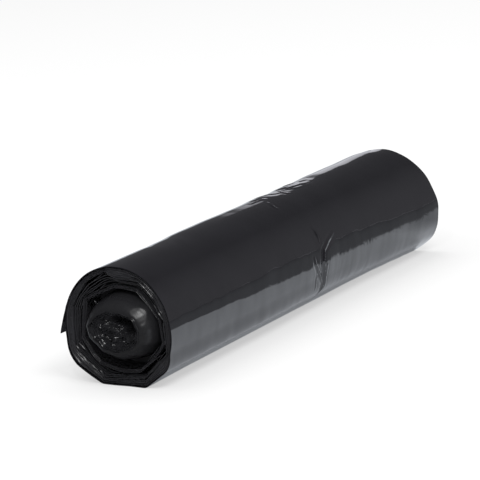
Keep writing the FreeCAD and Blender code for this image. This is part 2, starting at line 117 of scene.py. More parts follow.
# The outer turn sinks in under its own tail between two section angles, with a little air between them.
SINK_START = 318.0
SINK_END = 376.0
SINK_CLEARANCE = 0.12

# Ragged film: how far from an end it starts, how far it strays there, and how the tail's edge wanders.
RAGGED_REACH = 6.0
RAGGED_TURN = 0.55
RAGGED_TAIL = 0.6
TAIL_WANDER = 0.035
TAIL_WAVE = 0.7

# Creases in the outer turn: points as place along the roll and section angle, then height and half width.
CREASES = (
    (((27, 160), (18.9, 165.4), (12.8, 171.5), (10.8, 182.1), (11.8, 192.8), (11.8, 202), (12.4, 210.7),
      (10.7, 218.9)), 0.9, 0.85),
    (((1.7, 174.7), (2, 181.2), (4.8, 189.7), (9.4, 199.3), (11.2, 206)), 0.6, 0.75),
    (((8.9, 147.2), (10.4, 150.2), (10.5, 155.8), (10.4, 163.2)), 0.4, 0.6),
    (((15.2, 186.9), (14.5, 195.5), (14.8, 203.4), (15.9, 210.8)), 0.36, 0.6),
    (((3.6, 189.9), (3.2, 198), (3.8, 207.8)), 0.3, 0.6),
    (((13.6, 211.3), (13.4, 220.5), (9.9, 225.7), (4.8, 225.5)), 0.42, 0.75),
    (((-3.3, 85.7), (2.2, 86.1), (7.6, 86.8), (9.3, 88.2)), 0.4, 0.9),
    (((3.2, 99.2), (-0.1, 107.5), (-1.1, 114.4)), 0.4, 0.8),
    (((16, 70), (22.4, 87.6), (26.1, 89.5), (25.8, 96.3), (28.6, 98.5)), 0.36, 0.9),
    (((26.5, 80), (34, 88.5), (38.2, 94.1), (44, 96.6)), 0.32, 0.9),
    (((30.3, 82), (42, 88), (55, 92.5)), 0.3, 1.0),
    (((46, 70), (52, 80), (62, 84)), 0.3, 1.1),
    (((-102.3, 178.8), (-102.5, 189.5), (-102.7, 201.1)), 0.1, 1.9),
    (((-72.6, 78.6), (-84, 92), (-92.2, 111.7)), 0.14, 2.2),
)

# A crease's ridge, and the valley beside it as a share of its height and in half widths from its middle.
RIDGE_SHARPNESS = 1.8
VALLEY_DEPTH = 0.35
VALLEY_PLACE = 2.2

# Air between the outer turn and the turns below it.
UNDER_WRAP = 0.5

# Turns that lie loose between the two bundles at the nose end: their number, their room to both bundles, the
# section angle where their gap is widest, the columns of the web, and its step round the roll in degrees.
LOOSE_TURNS = 5.3
LOOSE_OUTER_ROOM = 0.6
LOOSE_INNER_ROOM = 2.0
LOOSE_OPENING = 62.0
LOOSE_COLUMNS = 9
LOOSE_STEP = 3.0

# A bundle's face: how far its film edges stray, the valleys between them, their roughness, and crooked turns.
EDGE_STRAY = 0.7
EDGE_VALLEY = 0.85
EDGE_ROUGHNESS = 0.25
TURN_CROOK = 0.3
TURN_BOW = 0.25

# Half width and half height of the nose at its root, and its middle from the winding axis.
NOSE_WIDTH = 23.2
NOSE_HEIGHT = 19.4
NOSE_MIDDLE = (-2.7, 1.3)

# A patch of the nose is pressed flat: the way it faces, a point on it, and how flat and how dented it is.
PRESSED_WAY = (-0.6, -0.587, 0.547)
PRESSED_POINT = (-152.9, -15.3, 11.4)
PRESSED_SHARE = 0.5
PRESSED_DENTS = 0.07

# The mouth's half width and half height, and the waves of its edge: height, number and shift.
MOUTH_WIDTH = 16.4
MOUTH_HEIGHT = 11.2
MOUTH_WAVES = ((0.035, 3, 0.6), (0.03, 5, 2.0), (0.022, 11, 0.0))

# Inside the mouth: its lip, its film edges, how deep it goes, and the heights of its folds.
LIP_START = 0.9
LIP_DEPTH = 0.32
MOUTH_FILMS = 17
MOUTH_FILM_HEIGHT = 0.32
MOUTH_DEPTH = 2.8
MOUTH_FOLD_HEIGHT = 2.1
MOUTH_CRUMPLE = 1.2
MOUTH_RIDGE = 1.3

# The pit in the mouth: its depth, and the section angles about the mouth between which it lies.
PIT_DEPTH = 7.0
PIT_START = 70.0
PIT_END = 196.0

# The inner bundle at the far end: radius, film edges, depth, rim, flatness, and radius of the turns round it.
FAR_BUNDLE_RADIUS = 23.2
FAR_BUNDLE_FILMS = 15
FAR_BUNDLE_DEPTH = 3.4
FAR_BUNDLE_RIM = 0.96
FAR_BUNDLE_FLATNESS = 0.94
FAR_TURNS_RADIUS = 24.2

# Folded film edges at the nose end: start and end across and up from the winding axis, set in, half width.
EDGE_FOLDS = (
    ((-15.1, 27.3), (-19.8, 23.6), 0.6, 0.4),
    ((-17.2, 26.0), (-24.3, 18.4), 1.2, 0.3),
    ((-21.5, 20.3), (-23.2, 18.2), 1.6, 0.45),
    ((-24.1, 15.3), (-27.0, 9.9), 1.2, 0.3),
    ((-26.6, 11.5), (-29.9, 7.1), 0.9, 0.45),
    ((-29.4, 5.8), (-29.9, -2.9), 0.9, 0.28),
    ((-30.0, -3.5), (-29.5, -5.7), 0.9, 0.4),
    ((-32.0, 4.2), (-31.4, -5.2), 0.5, 0.22),
    ((19.0, 16.4), (14.7, 17.8), 3.0, 0.35),
    ((16.1, 14.4), (14.9, 13.2), 3.2, 0.5),
    ((11.9, 14.6), (10.9, 13.9), 3.4, 0.42),
    ((22.8, 12.9), (24.1, 10.9), 2.2, 0.45),
    ((20.5, 14.6), (21.6, 6.9), 2.4, 0.22),
    ((22.6, 3.3), (23.9, -5.1), 1.6, 0.25),
    ((6.7, 31.3), (0.2, 28.5), 0.8, 0.3),
    ((6.9, 30.8), (14.1, 26.1), 1.0, 0.25),
    ((-2.7, 27.8), (-14.7, 28.2), 0.8, 0.22),
    ((18.0, 18.7), (10.3, 24.2), 1.8, 0.22),
    ((14.8, 18.8), (6.0, 25.3), 2.2, 0.25),
    ((28.4, -10.1), (25.7, -13.8), 0.4, 0.4),
    ((26.9, -8.5), (22.6, -12.4), 0.8, 0.3),
    ((25.7, -15.7), (20.4, -19.8), 0.5, 0.25),
    ((22.6, -17.8), (15.1, -23.2), 0.7, 0.35),
    ((20.8, -21.0), (12.1, -26.7), 0.4, 0.25),
    ((13.6, -22.8), (10.9, -27.7), 0.8, 0.35),
    ((8.4, -27.4), (-6.0, -25.9), 0.5, 0.28),
    ((-6.1, -25.0), (-12.7, -26.3), 0.5, 0.28),
    ((7.8, -25.0), (-2.8, -24.4), 1.0, 0.2),
    ((-14.5, -26.2), (-29.3, -12.5), 0.6, 0.35),
    ((-17.3, -26.2), (-30.4, -14.9), 0.4, 0.22),
    ((-12.7, -21.2), (-27.9, -11.2), 1.2, 0.25),
    ((-16.9, -16.7), (-25.9, -6.6), 2.0, 0.22),
)

# Folds in the crushed mouth: start, end and height.
MOUTH_FOLDS = (
    ((0.4, 3.4), (-1.0, 7.1), 0.9),
    ((-1.0, 7.1), (-10.2, 0.8), 1.2),
    ((-2.6, 8.3), (-4.8, 6.3), 0.9),
    ((-6.1, 0.1), (-10.1, -0.6), 0.9),
    ((-2.0, -3.3), (-5.1, -4.7), 0.9),
    ((14.1, 2.4), (12.5, 0.3), 0.8),
    ((12.3, -3.7), (9.5, -6.1), 0.9),
    ((7.6, 2.6), (4.5, -0.7), 0.7),
    ((-11.5, 7.6), (-16.9, 4.9), 0.6),
    ((6.5, -1.8), (-2.0, 1.4), 0.7),
    ((10.1, -9.0), (-0.0, -5.1), 0.6),
    ((-5.8, -7.1), (-13.6, -2.8), 0.6),
    ((15.6, -2.4), (12.4, -8.5), 0.6),
    ((-3.7, 3.4), (-0.0, -5.1), 0.8),
    ((3.6, 6.0), (6.3, 0.8), 0.6),
)

# Corners of two turns at the nose end, as section angle and distance from the winding axis.
LOOSE_TURN = (
    (21, 31.3), (51, 31.6), (79, 32.4), (90, 29.4), (118, 32.3), (140, 32.0), (156, 30.4), (164, 31.6),
    (200, 33.0), (239, 30.4), (292, 29.0), (332, 30.2), (341, 31.0),
)
INNER_TURN = (
    (34, 25.4), (85, 22.6), (120, 24.5), (165, 26.2), (192, 27.5), (211, 24.8), (242, 23.8), (271, 21.6),
    (308, 23.2), (346, 24.9),
)

# Least and most of a film's colour and of its roughness, as shares of the plain value.
BLOOM_RANGE = (0.8, 1.25)
GLOSS_RANGE = (0.75, 1.45)

# The painted shadow on the table top, a soft grey halo, in metres: the box it starts from, its reach, and its
# level at the box.
PAINTED_SHADOW_BOX = (0.15, 0.03)
PAINTED_SHADOW_REACH = 0.11
PAINTED_SHADOW_LEVEL = 0.86

# The table top as the film mirrors it, in metres: it ends in the dark along an edge in front of the roll. How
# that edge moves out towards the far end and bends out towards the nose, how soft, ragged and slanting it is,
# and how bright the table top still is past it.
MIRROR_EDGE = -0.060
MIRROR_FAR_EDGE = 0.013
MIRROR_BEND = 0.0020
MIRROR_SOFTNESS = 0.0015
MIRROR_RAGGED = 0.06
MIRROR_SLANT = 1.2
MIRROR_DARK = 0.24

# What the film mirrors of the room: the white wall's top and edge, and the dim room's light, top and front.
WALL_RISE = (math.radians(26), math.radians(23))
WALL_EDGE = (0.814, 0.826)
FRONT_LIGHT = (1.2, 3.4)

# Lamps: name, direction, distance, width, height, share of the lamp power, and whether the gloss shows it.
LAMPS = (
    ("soft_box", (-0.3, -0.55, 0.78), 1.3, 0.55, 0.4, 1.0, True),
    ("spark", (-0.62, -0.28, 0.62), 0.9, 0.05, 0.05, 0.14, True),
    ("overhead", (0.2, 0.35, 1.0), 1.6, 1.2, 1.2, 1.2, False),
)

# The camera: direction and roll in degrees, what it looks at from the winding axis, distance and lens.
CAMERA_AZIMUTH = -56.499
CAMERA_ELEVATION = 13.467
CAMERA_ROLL = 5.362
CAMERA_TARGET = (-21.562, 0, 18.049)
CAMERA_DISTANCE = 1.49937
CAMERA_LENS = 196.33


def length_property(name, description, default):
    return bpy.props.FloatProperty(name=name, description=description, default=default, unit="LENGTH")


def colour_property(name, description, default):
    return bpy.props.FloatVectorProperty(name=name, description=description, default=default, subtype="COLOR")


class BagRollSizes(bpy.types.PropertyGroup):
    """Sizes of the roll that a user would change."""

    roll_length: length_property("Roll length", "Width of the folded bags", 0.300)
    roll_radius: length_property("Roll radius", "Winding axis to the outer turn", 0.035)
    rest_height: length_property("Rest height", "Winding axis above the flat spot", 0.0304)
    flat_front: length_property("Flat spot, front", "From below the axis to the front crease", 0.0163)
    flat_back: length_property("Flat spot, back", "From below the axis to the back crease", 0.0124)
    belly_front: length_property("Belly, front", "Axis to the crease of the sagging front", 0.0367)
    belly_back: length_property("Belly, back", "Axis to the crease of the sagging back", 0.0352)
    near_slant: length_property("Nose end slant", "How far the top of this end is set in", 0.0039)
    far_slant: length_property("Far end slant", "How far the back of this end is set in", 0.0114)
    wrap_thickness: length_property("Wrap thickness", "Folded film of the outer turn", 0.0005)
    film_thickness: length_property("Film thickness", "Folded film of a loose turn", 0.00038)
    tail_length: length_property("Tail length", "Loose tail from where it leaves the roll", 0.0180)
    tail_angle: bpy.props.FloatProperty(
        name="Tail angle", description="Section angle where the tail leaves", default=math.radians(22),
        subtype="ANGLE")
    tail_hook: length_property("Tail hook", "How far the tail's edge curls back", 0.0013)
    near_depth: length_property("Nose end depth", "Depth of the loose turns at the nose end", 0.016)
    far_depth: length_property("Far end depth", "Depth of the loose turns at the other end", 0.008)
    nose_reach: length_property("Nose reach", "Nose in front of the end face", 0.0045)


class BagRollLook(bpy.types.PropertyGroup):
    """Finish of the film and level of the light."""

    film_colour: colour_property("Film colour", "Black polyethylene", (0.0085, 0.0083, 0.0101))
    # Loose film: the same black film as the outer turn, painted lighter as painted light on the near end's
    # turns; its rougher gloss is real.
    inner_colour_painted_light: colour_property(
        "Inner colour", "Loose film, which scatters more light", (0.025, 0.025, 0.028))
    # Nose film: the same black film, painted lighter as painted light on the nose and the far bundle.
    nose_colour_painted_light: colour_property("Nose colour", "Film of the inner bundle", (0.0125, 0.0125, 0.014))
    film_roughness: bpy.props.FloatProperty(
        name="Film roughness", description="Gloss of the outer turn", default=0.05, subtype="FACTOR")
    ripple_height: length_property("Ripple height", "Fine ripples in the outer turn", 0.00009)
    floor_colour: colour_property("Floor colour", "White table top", (0.93, 0.93, 0.93))
    mirrored_colour: colour_property(
        "Mirrored colour", "Table top as the film mirrors it", (0.88, 0.92, 0.98))
    mirrored_light: bpy.props.FloatProperty(
        name="Mirrored light", description="Glow of the table top as the film mirrors it", default=0.22)
    room_light: bpy.props.FloatProperty(
        name="Room light", description="Soft light from all round", default=0.72)
    dim_room: bpy.props.FloatProperty(
        name="Dim room", description="What the film mirrors from above", default=0.1)
    lamp_power: bpy.props.FloatProperty(
        name="Lamp power", description="Soft box over the nose end", default=7.0, unit="POWER")


def sizes():
    return bpy.context.scene.bag_roll_sizes


def look():
    return bpy.context.scene.bag_roll_look


def smooth(share):
    share = min(1.0, max(0.0, share))
    return share * share * (3 - 2 * share)


def mix(start, end, share):
    return start + (end - start) * share


def ease(value, start, end):
    """Goes softly from 0 at start to 1 at end."""
    return smooth((value - start) / (end - start))


def along_table(table, place):
    """Reads a table of place and value, with an even curve from one entry to the next."""
    if place <= table[0][0]:
        return table[0][1]
    for (start, low), (end, high) in zip(table, table[1:]):
        if place <= end:
            return mix(low, high, ease(place, start, end))
    return table[-1][1]


def ray_to_line(start, end, angle):
    """Distance from the winding axis, at a section angle, to the straight line through two points."""
    turned = math.radians(angle)
    way_y, way_z = end[0] - start[0], end[1] - start[1]
    return (start[0] * way_z - start[1] * way_y) / (math.cos(turned) * way_z - math.sin(turned) * way_y)


def polar(radius, angle):
    turned = math.radians(angle)
    return radius * math.cos(turned), radius * math.sin(turned)


def half_length():
    return sizes().roll_length / 2 / MM


def section_at(x):
    """The section at a place along the roll: the corners of its sagging part, how round its front has become,
    and how much of the far end's sag it has."""
    size = sizes()
    rest = size.rest_height / MM
    front = size.flat_front / MM + along_table(FRONT_EDGE, x)
    back = size.flat_back / MM
    corners = (
        (ROUND_END, polar(size.roll_radius / MM, ROUND_END), BELLY_FRONT_BULGE),
        (BELLY_FRONT, polar(size.belly_front / MM, BELLY_FRONT), 0.0),
        (180 + math.degrees(math.atan2(rest, front)), (-front, -rest), 0.0),
        (360 - math.degrees(math.atan2(rest, back)), (back, -rest), 0.0),
        (BELLY_BACK, polar(size.belly_back / MM, BELLY_BACK), BELLY_BACK_BULGE),
        (360 + ROUND_START, polar(size.roll_radius / MM, ROUND_START), 0.0),
    )
    return corners, ease(x, ROUNDING_START, ROUNDING_END), ease(x, FAR_SAG_START, FAR_SAG_END)


def near_face(z):
    """Place of the nose end along the roll, at a height from the winding axis: its top is set in."""
    size = sizes()
    share = (z * MM + size.rest_height) / (size.rest_height + size.roll_radius)
    return (-size.roll_length / 2 + size.near_slant * share) / MM


def far_face(y):
    """Place of the other end along the roll: its back is set in."""
    size = sizes()
    share = (y * MM + size.roll_radius) / (2 * size.roll_radius)
    return (size.roll_length / 2 - size.far_slant * share) / MM


def slanted(x, y, z):
    """Moves a place along the roll in from a straight end to the slanted one."""
    half = half_length()
    near = (near_face(z) + half) * smooth((-half + NEAR_SLANT_REACH - x) / NEAR_SLANT_REACH)
    far = (far_face(y) - half) * smooth((x - half + FAR_SLANT_REACH) / FAR_SLANT_REACH)
    return x + near + far


def outline(angle, section):
    """Distance from the winding axis to the outer turn, round above and sagging below."""
    corners, roundness, sag = section
    radius = sizes().roll_radius / MM
    angle = (angle - ROUND_START) % 360 + ROUND_START
    if FAR_SAG[0][0] < angle < FAR_SAG[-1][0]:
        radius += sag * along_table(FAR_SAG, angle)
    for (start_angle, start, bulge), (end_angle, end, _) in zip(corners, corners[1:]):
        if start_angle < angle < end_angle:
            share = (angle - start_angle) / (end_angle - start_angle)
            sagging = ray_to_line(start, end, angle) + bulge * math.sin(math.pi * share)
            if angle > STRAIGHT_DOWN:
                return sagging
            low_angle, low, _ = corners[2]
            radius = mix(radius, math.hypot(*low), ease(angle, ROUND_FRONT, low_angle))
            return mix(sagging, min(radius, low[1] / math.sin(math.radians(angle))), roundness)
    return radius


def rounded_outline(angle, section, spread=2.2):
    """The outline, averaged over a few degrees, so that its corners come out round."""
    samples = [outline(angle + offset * spread, section) for offset in (-1, -0.5, 0, 0.5, 1)]
    return sum(samples) / len(samples)


def deselect():
    if bpy.context.object and bpy.context.object.mode != "OBJECT":
        bpy.ops.object.mode_set(mode="OBJECT")
    bpy.ops.object.select_all(action="DESELECT")


def add_sheet(name, columns, rows, place):
    """Adds a grid and moves each point to where place puts its column and row."""
    deselect()
    bpy.ops.mesh.primitive_grid_add(x_subdivisions=columns, y_subdivisions=rows, size=1)
    piece = bpy.context.object
    piece.name = name
    for point in piece.data.vertices:
        column = round((point.co.x + 0.5) * columns)
        row = round((point.co.y + 0.5) * rows)
        point.co = Vector(place(column, row)) * MM
    return piece


def select_whole(piece):
    """Goes into edit mode with all of a piece selected."""
    bpy.context.view_layer.objects.active = piece
    bpy.ops.object.mode_set(mode="EDIT")
    bpy.ops.mesh.select_all(action="SELECT")


def merge_seams(piece, distance=0.00001):
    select_whole(piece)
    bpy.ops.mesh.remove_doubles(threshold=distance)
    bpy.ops.mesh.normals_make_consistent(inside=False)
    bpy.ops.object.mode_set(mode="OBJECT")


def face_outwards(piece, inside_point):
    """Turns an open sheet over if most of it faces the winding axis."""
    total = 0.0
    for face in piece.data.polygons:
        away = face.center - inside_point
        away.x = 0
        total += face.normal.dot(away) * face.area
    if total < 0:
        select_whole(piece)
        bpy.ops.mesh.flip_normals()
        bpy.ops.object.mode_set(mode="OBJECT")


def thicken(piece, thickness, offset=-1.0):
    bpy.context.view_layer.objects.active = piece
    wall = piece.modifiers.new("wall", "SOLIDIFY")
    wall.thickness = thickness
    wall.offset = offset
    bpy.ops.object.modifier_apply(modifier="wall")


def finish_piece(piece, material, crease_angle=40):
    deselect()
    piece.select_set(True)
    bpy.context.view_layer.objects.active = piece
    bpy.ops.object.shade_smooth_by_angle(angle=math.radians(crease_angle))
    piece.data.materials.clear()
    piece.data.materials.append(material)
    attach(piece, BODY)
    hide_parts(CAD_NODE)


def axis_point():
    return Vector((0, 0, sizes().rest_height))


def add_node(tree, kind, inputs=None, **settings):
    """Adds a shader node. Each of its inputs takes a value, or a link from another node's output."""
    node = tree.nodes.new("ShaderNode" + kind)
    for name, value in settings.items():
        setattr(node, name, value)
    for key, value in (inputs or {}).items():
        if isinstance(value, bpy.types.NodeSocket):
            tree.links.new(value, node.inputs[key])
        else:
            node.inputs[key].default_value = value
    return node


def reckon(tree, operation, *values):
    return add_node(tree, "Math", dict(enumerate(values)), operation=operation).outputs["Value"]


def mapped(tree, value, start, end, low=0.0, high=1.0, curve="LINEAR"):
    """Goes from low, where the value is at start, to high, where it is at end."""
    inputs = {"Value": value, "From Min": start, "From Max": end, "To Min": low, "To Max": high}
    return add_node(tree, "MapRange", inputs, interpolation_type=curve).outputs["Result"]


def mixed_shaders(tree, share, first, second):
    return add_node(tree, "MixShader", {"Fac": share, 1: first, 2: second}).outputs["Shader"]


def film_pattern(tree, place, detail, along, across, turned=0.0):
    """Noise drawn out over the film, with one scale along the roll and one across it."""
    drawn = add_node(
        tree, "Mapping", {"Vector": place, "Rotation": (0, 0, turned), "Scale": (along, across, across)})
    inputs = {"Vector": drawn.outputs["Vector"], "Scale": 1, "Detail": detail}
    return add_node(tree, "TexNoise", inputs).outputs["Fac"]


def film_material(name, roughness, colour, ripple, ripple_size, scratches):
    """Black polyethylene film: glossy, with soft ripples, fine drawn lines and a faint bloom."""
    material = bpy.data.materials.new(name)
    material.use_nodes = True
    tree = material.node_tree
    place = add_node(tree, "TexCoord").outputs["Object"]

    bloom = add_node(tree, "TexNoise", {"Vector": place, "Scale": 38, "Detail": 6}).outputs["Fac"]
    darker, lighter = ((*[part * share for part in colour], 1) for share in BLOOM_RANGE)
    tint = add_node(tree, "Mix", {"Factor": bloom, "A": darker, "B": lighter}, data_type="RGBA")

    smears = film_pattern(tree, place, 5, 120, 22)
    glossy, dull = (roughness * share for share in GLOSS_RANGE)
    gloss = mapped(tree, smears, 0.3, 0.72, glossy, dull)

    waves = film_pattern(tree, place, 3, ripple_size, ripple_size * 0.28)
    soft_bump = add_node(tree, "Bump", {"Strength": 1, "Distance": ripple, "Height": waves})
    lines = film_pattern(tree, place, 2, 1500, 90, math.radians(12))
    inputs = {"Strength": 1, "Distance": scratches, "Height": lines, "Normal": soft_bump.outputs["Normal"]}
    fine_bump = add_node(tree, "Bump", inputs)

    shader = tree.nodes["Principled BSDF"]
    shader.inputs["IOR"].default_value = 1.5
    tree.links.new(tint.outputs["Result"], shader.inputs["Base Color"])
    tree.links.new(gloss, shader.inputs["Roughness"])
    tree.links.new(fine_bump.outputs["Normal"], shader.inputs["Normal"])
    return material


def film(name):
    """One of the films, made when a piece first needs it: how much rougher than the outer turn it is, its
    colour, which for the loose and crumpled films is painted lighter than the outer film's as painted light,
    the height and fineness of its ripples, and the height of its drawn lines."""
    if name in bpy.data.materials:
        return bpy.data.materials[name]
    films = {
        "glossy outer film": (1.0, look().film_colour, 0.000025, 170, 0.000002),
        "loose film": (4.5, look().inner_colour_painted_light, 0.00012, 320, 0.000003),
        "crumpled film": (6.0, look().nose_colour_painted_light, 0.00012, 420, 0.000003),
        "glossy crumpled film": (2.8, look().nose_colour_painted_light, 0.00012, 420, 0.000003),
    }
    rougher, colour, ripple, ripple_size, scratches = films[name]
    return film_material(name, look().film_roughness * rougher, colour, ripple, ripple_size, scratches)


def stepped(start, stretches):
    """Places from start on, each stretch with its own spacing."""
    places = [start]
    for end, spacing in stretches:
        count = max(1, round((end - places[-1]) / spacing))
        start = places[-1]
        places.extend(start + (end - start) * step / count for step in range(1, count + 1))
    return places


def crease_lift(x, angle, creases):
    """Height that the creases add at a place: a sharp ridge with a shallow valley on each side."""
    lift = 0.0
    radius = sizes().roll_radius / MM
    for points, height, half_width, low_x, high_x, low_angle, high_angle in creases:
        if not (low_x < x < high_x and low_angle < angle < high_angle):
            continue
        nearest, where = 1e9, 0.0
        for step, ((x0, a0), (x1, a1)) in enumerate(zip(points, points[1:])):
            way_x, way_a = x1 - x0, math.radians(a1 - a0) * radius
            off_x, off_a = x - x0, math.radians(angle - a0) * radius
            share = min(1.0, max(0.0, (off_x * way_x + off_a * way_a) / (way_x**2 + way_a**2)))
            distance = math.hypot(off_x - way_x * share, off_a - way_a * share)
            if distance < nearest:
                nearest, where = distance, (step + share) / (len(points) - 1)
        taper = math.sin(math.pi * (0.04 + 0.92 * where)) ** 0.6
        spread = nearest / half_width
        ridge = math.exp(-spread**2 * RIDGE_SHARPNESS)
        lift += height * taper * (ridge - VALLEY_DEPTH * math.exp(-(spread - VALLEY_PLACE) ** 2))
    return lift


def crease_boxes():
    boxed = []
    for points, height, half_width in CREASES:
        reach = half_width * 4.5
        turn = math.degrees(reach / (sizes().roll_radius / MM))
        xs = [x for x, _ in points]
        angles = [angle for _, angle in points]
        boxed.append((
            points, height, half_width,
            min(xs) - reach, max(xs) + reach, min(angles) - turn, max(angles) + turn,
        ))
    return boxed


def ripples(x, angle):
    """Low ripples of a film wound under uneven tension: short along the roll, long round it."""
    turned = math.radians(angle)
    lift = 0.0
    for height, length, shift, number in RIPPLES:
        spot = Vector((x / length + shift, math.cos(turned) * number, math.sin(turned) * number))
        lift += height * noise.noise(spot)
    calm = mix(CALM_SHARE, 1, smooth((abs(angle - CALM_ANGLE) - CALM_REACH) / CALM_FADE))
    return look().ripple_height / MM * calm * lift


def turn_lift(x, angle, creases):
    """Height above the plain outline, fading out on the flat spot."""
    freedom = ease(math.sin(math.radians(angle)), FLAT_SINE, FREE_SINE)
    over_top = smooth((SWELL_REACH - abs(angle - SWELL_ANGLE)) / SWELL_FADE)
    swell = along_table(WINDING, x) * mix(SWELL_ELSEWHERE, 1, over_top)
    return freedom * (swell + ripples(x, angle) + crease_lift(x, angle % 360, creases))


class BAGROLL_OT_outer_turn(bpy.types.Operator):
    """Winds the outer turn with its creases and the loose tail"""

    bl_idname = "bag_roll.outer_turn"
    bl_label = "Outer Turn"

    def execute(self, context):
        size = sizes()
        creases = crease_boxes()
        places = stepped(-half_length(), COLUMNS)
        sections = [section_at(x) for x in places]
        rest = size.rest_height / MM
        tail_angle = math.degrees(size.tail_angle)
        angles = stepped(tail_angle, ROWS)
        out = polar(1.0, tail_angle)
        down = polar(1.0, tail_angle - 90)
        sunk = size.wrap_thickness / MM + SINK_CLEARANCE

        def tail_point(x, share, section, ragged):
            length = size.tail_length / MM * (1 + TAIL_WANDER * noise.noise(Vector((x / 24, 3, 0))))
            wave = TAIL_WAVE * noise.noise(Vector((x / 30, 9, 0))) * share**2
            inward = size.tail_hook / MM * share**3 - wave
            radius = outline(tail_angle, section) + turn_lift(x, tail_angle, creases) - inward
            y = out[0] * radius + down[0] * length * share
            z = out[1] * radius + down[1] * length * share
            stray = RAGGED_TAIL * noise.noise(Vector((share * 3, 5, x / 90))) * ragged
            return slanted(x, y, z) + stray, y, z

        def turn_point(x, angle, section, ragged):
            radius = rounded_outline(angle, section) + turn_lift(x, angle, creases)
            y, z = polar(radius - sunk * ease(angle, SINK_START, SINK_END), angle)
            stray = RAGGED_TURN * noise.noise(Vector((angle / 21, 5, x / 90))) * ragged
            return slanted(x, y, z) + stray, y, z

        def place(column, row):
            x = places[column]
            ragged = max(0.0, 1 - (half_length() - abs(x)) / RAGGED_REACH)
            if row < TAIL_STEPS:
                along, y, z = tail_point(x, 1 - row / TAIL_STEPS, sections[column], ragged)
            else:
                along, y, z = turn_point(x, angles[row - TAIL_STEPS], sections[column], ragged)
            return along, y, max(0.0, z + rest)

        piece = add_sheet("outer_turn", len(places) - 1, TAIL_STEPS + len(angles) - 1, place)
        face_outwards(piece, axis_point())
        thicken(piece, size.wrap_thickness)
        finish_piece(piece, film("glossy outer film"), 50)
        return {"FINISHED"}


class BAGROLL_OT_tight_turns(bpy.types.Operator):
    """Adds the tightly wound turns that the outer turn lies on"""

    bl_idname = "bag_roll.tight_turns"
    bl_label = "Tight Turns"

    def execute(self, context):
        size = sizes()
        section = section_at(-half_length())
        inset = size.wrap_thickness / MM * 2 + UNDER_WRAP
        rest = size.rest_height / MM
        deselect()
        bpy.ops.mesh.primitive_cylinder_add(
            vertices=120, radius=1, depth=1, end_fill_type="NGON", rotation=(0, math.radians(90), 0))
        piece = bpy.context.object
        piece.name = "tight_turns"
        bpy.ops.object.transform_apply(location=True, rotation=True, scale=True)
        for point in piece.data.vertices:
            angle = math.degrees(math.atan2(point.co.z, point.co.y))
            y, z = polar(rounded_outline(angle, section) - inset, angle)
            if point.co.x < 0:
                x = near_face(z) + size.near_depth / MM
            else:
                x = far_face(y) - size.far_depth / MM
            point.co = Vector((x, y, z + rest)) * MM
        finish_piece(piece, film("loose film"))
        return {"FINISHED"}


def ring_radius(ring, angle):
    """Distance to a creased turn: straight between its corners, with a slight outward bow."""
    angle = (angle - ring[0][0]) % 360 + ring[0][0]
    closed = (*ring, (ring[0][0] + 360, ring[0][1]))
    for (start_angle, start), (end_angle, end) in zip(closed, closed[1:]):
        if start_angle <= angle <= end_angle:
            straight = ray_to_line(polar(start, start_angle), polar(end, end_angle), angle)
            share = (angle - start_angle) / (end_angle - start_angle)
            return straight + TURN_BOW * math.sin(math.pi * share)
    return ring[0][1]


def add_bundle(name, outer, inner, set_in, funnel, layers, seed, side=-1):
    """Turns that lie tight together, as one closed ring. Each film edge on its face stands for a turn:
    the turns spiral inwards, and no two of them end at the same place."""
    size = sizes()
    rest = size.rest_height / MM
    deep = (size.near_depth if side < 0 else size.far_depth) / MM + 1
    around = 260
    edge_steps = 6
    walls = 7
    across = layers * edge_steps
    last = across + walls + 2

    def place(column, row):
        angle = 360 * column / around
        share = min(1.0, max(0.0, (row - 1) / across))
        spiral = share * layers - angle / 360
        turn = math.floor(spiral) + angle / 360
        within = spiral - math.floor(spiral)
        stray = noise.noise(Vector((turn * 2.3, seed, 0.5)))
        stray += 0.5 * noise.noise(Vector((turn * 9.0, seed, 7.5)))
        valley = 1 - math.sin(math.pi * within) ** 0.55
        edge = set_in + funnel * share + EDGE_STRAY * stray + EDGE_VALLEY * valley
        edge += EDGE_ROUGHNESS * noise.noise(Vector((angle / 9, turn * 3.0, seed)))
        depth = max(0.1, edge)
        crook = TURN_CROOK * noise.noise(Vector((angle / 15, turn * 1.1, seed + 3)))
        radius = mix(outer(angle), inner(angle), share)
        radius += crook * math.sin(math.pi * share)
        if row in (0, last):
            radius, depth = outer(angle), deep
        elif row > across + 1:
            down = (row - across - 1) / walls
            depth = mix(depth, deep, down**1.3)
            dent = noise.noise(Vector((angle / 13, down * 1.2, seed + 5)))
            radius += 0.55 * dent * math.sin(math.pi * min(1, down))
        y, z = polar(radius, angle)
        face = near_face(z) if side < 0 else far_face(y)
        return face - side * depth, y, z + rest

    piece = add_sheet(name, around, last, place)
    merge_seams(piece)
    finish_piece(piece, film("loose film"), 50)


def loose_radius(turn, angle):
    """Distance to a turn in the wide gap: it leaves the outer bundle at the top and joins the inner one."""
    outer = ring_radius(LOOSE_TURN, angle) - LOOSE_OUTER_ROOM
    inner = ring_radius(INNER_TURN, angle) + LOOSE_INNER_ROOM
    opened = 0.5 + 0.5 * math.cos(math.radians(angle - LOOSE_OPENING))
    through = turn / LOOSE_TURNS
    return mix(outer, inner, mix(through**4, through, opened))


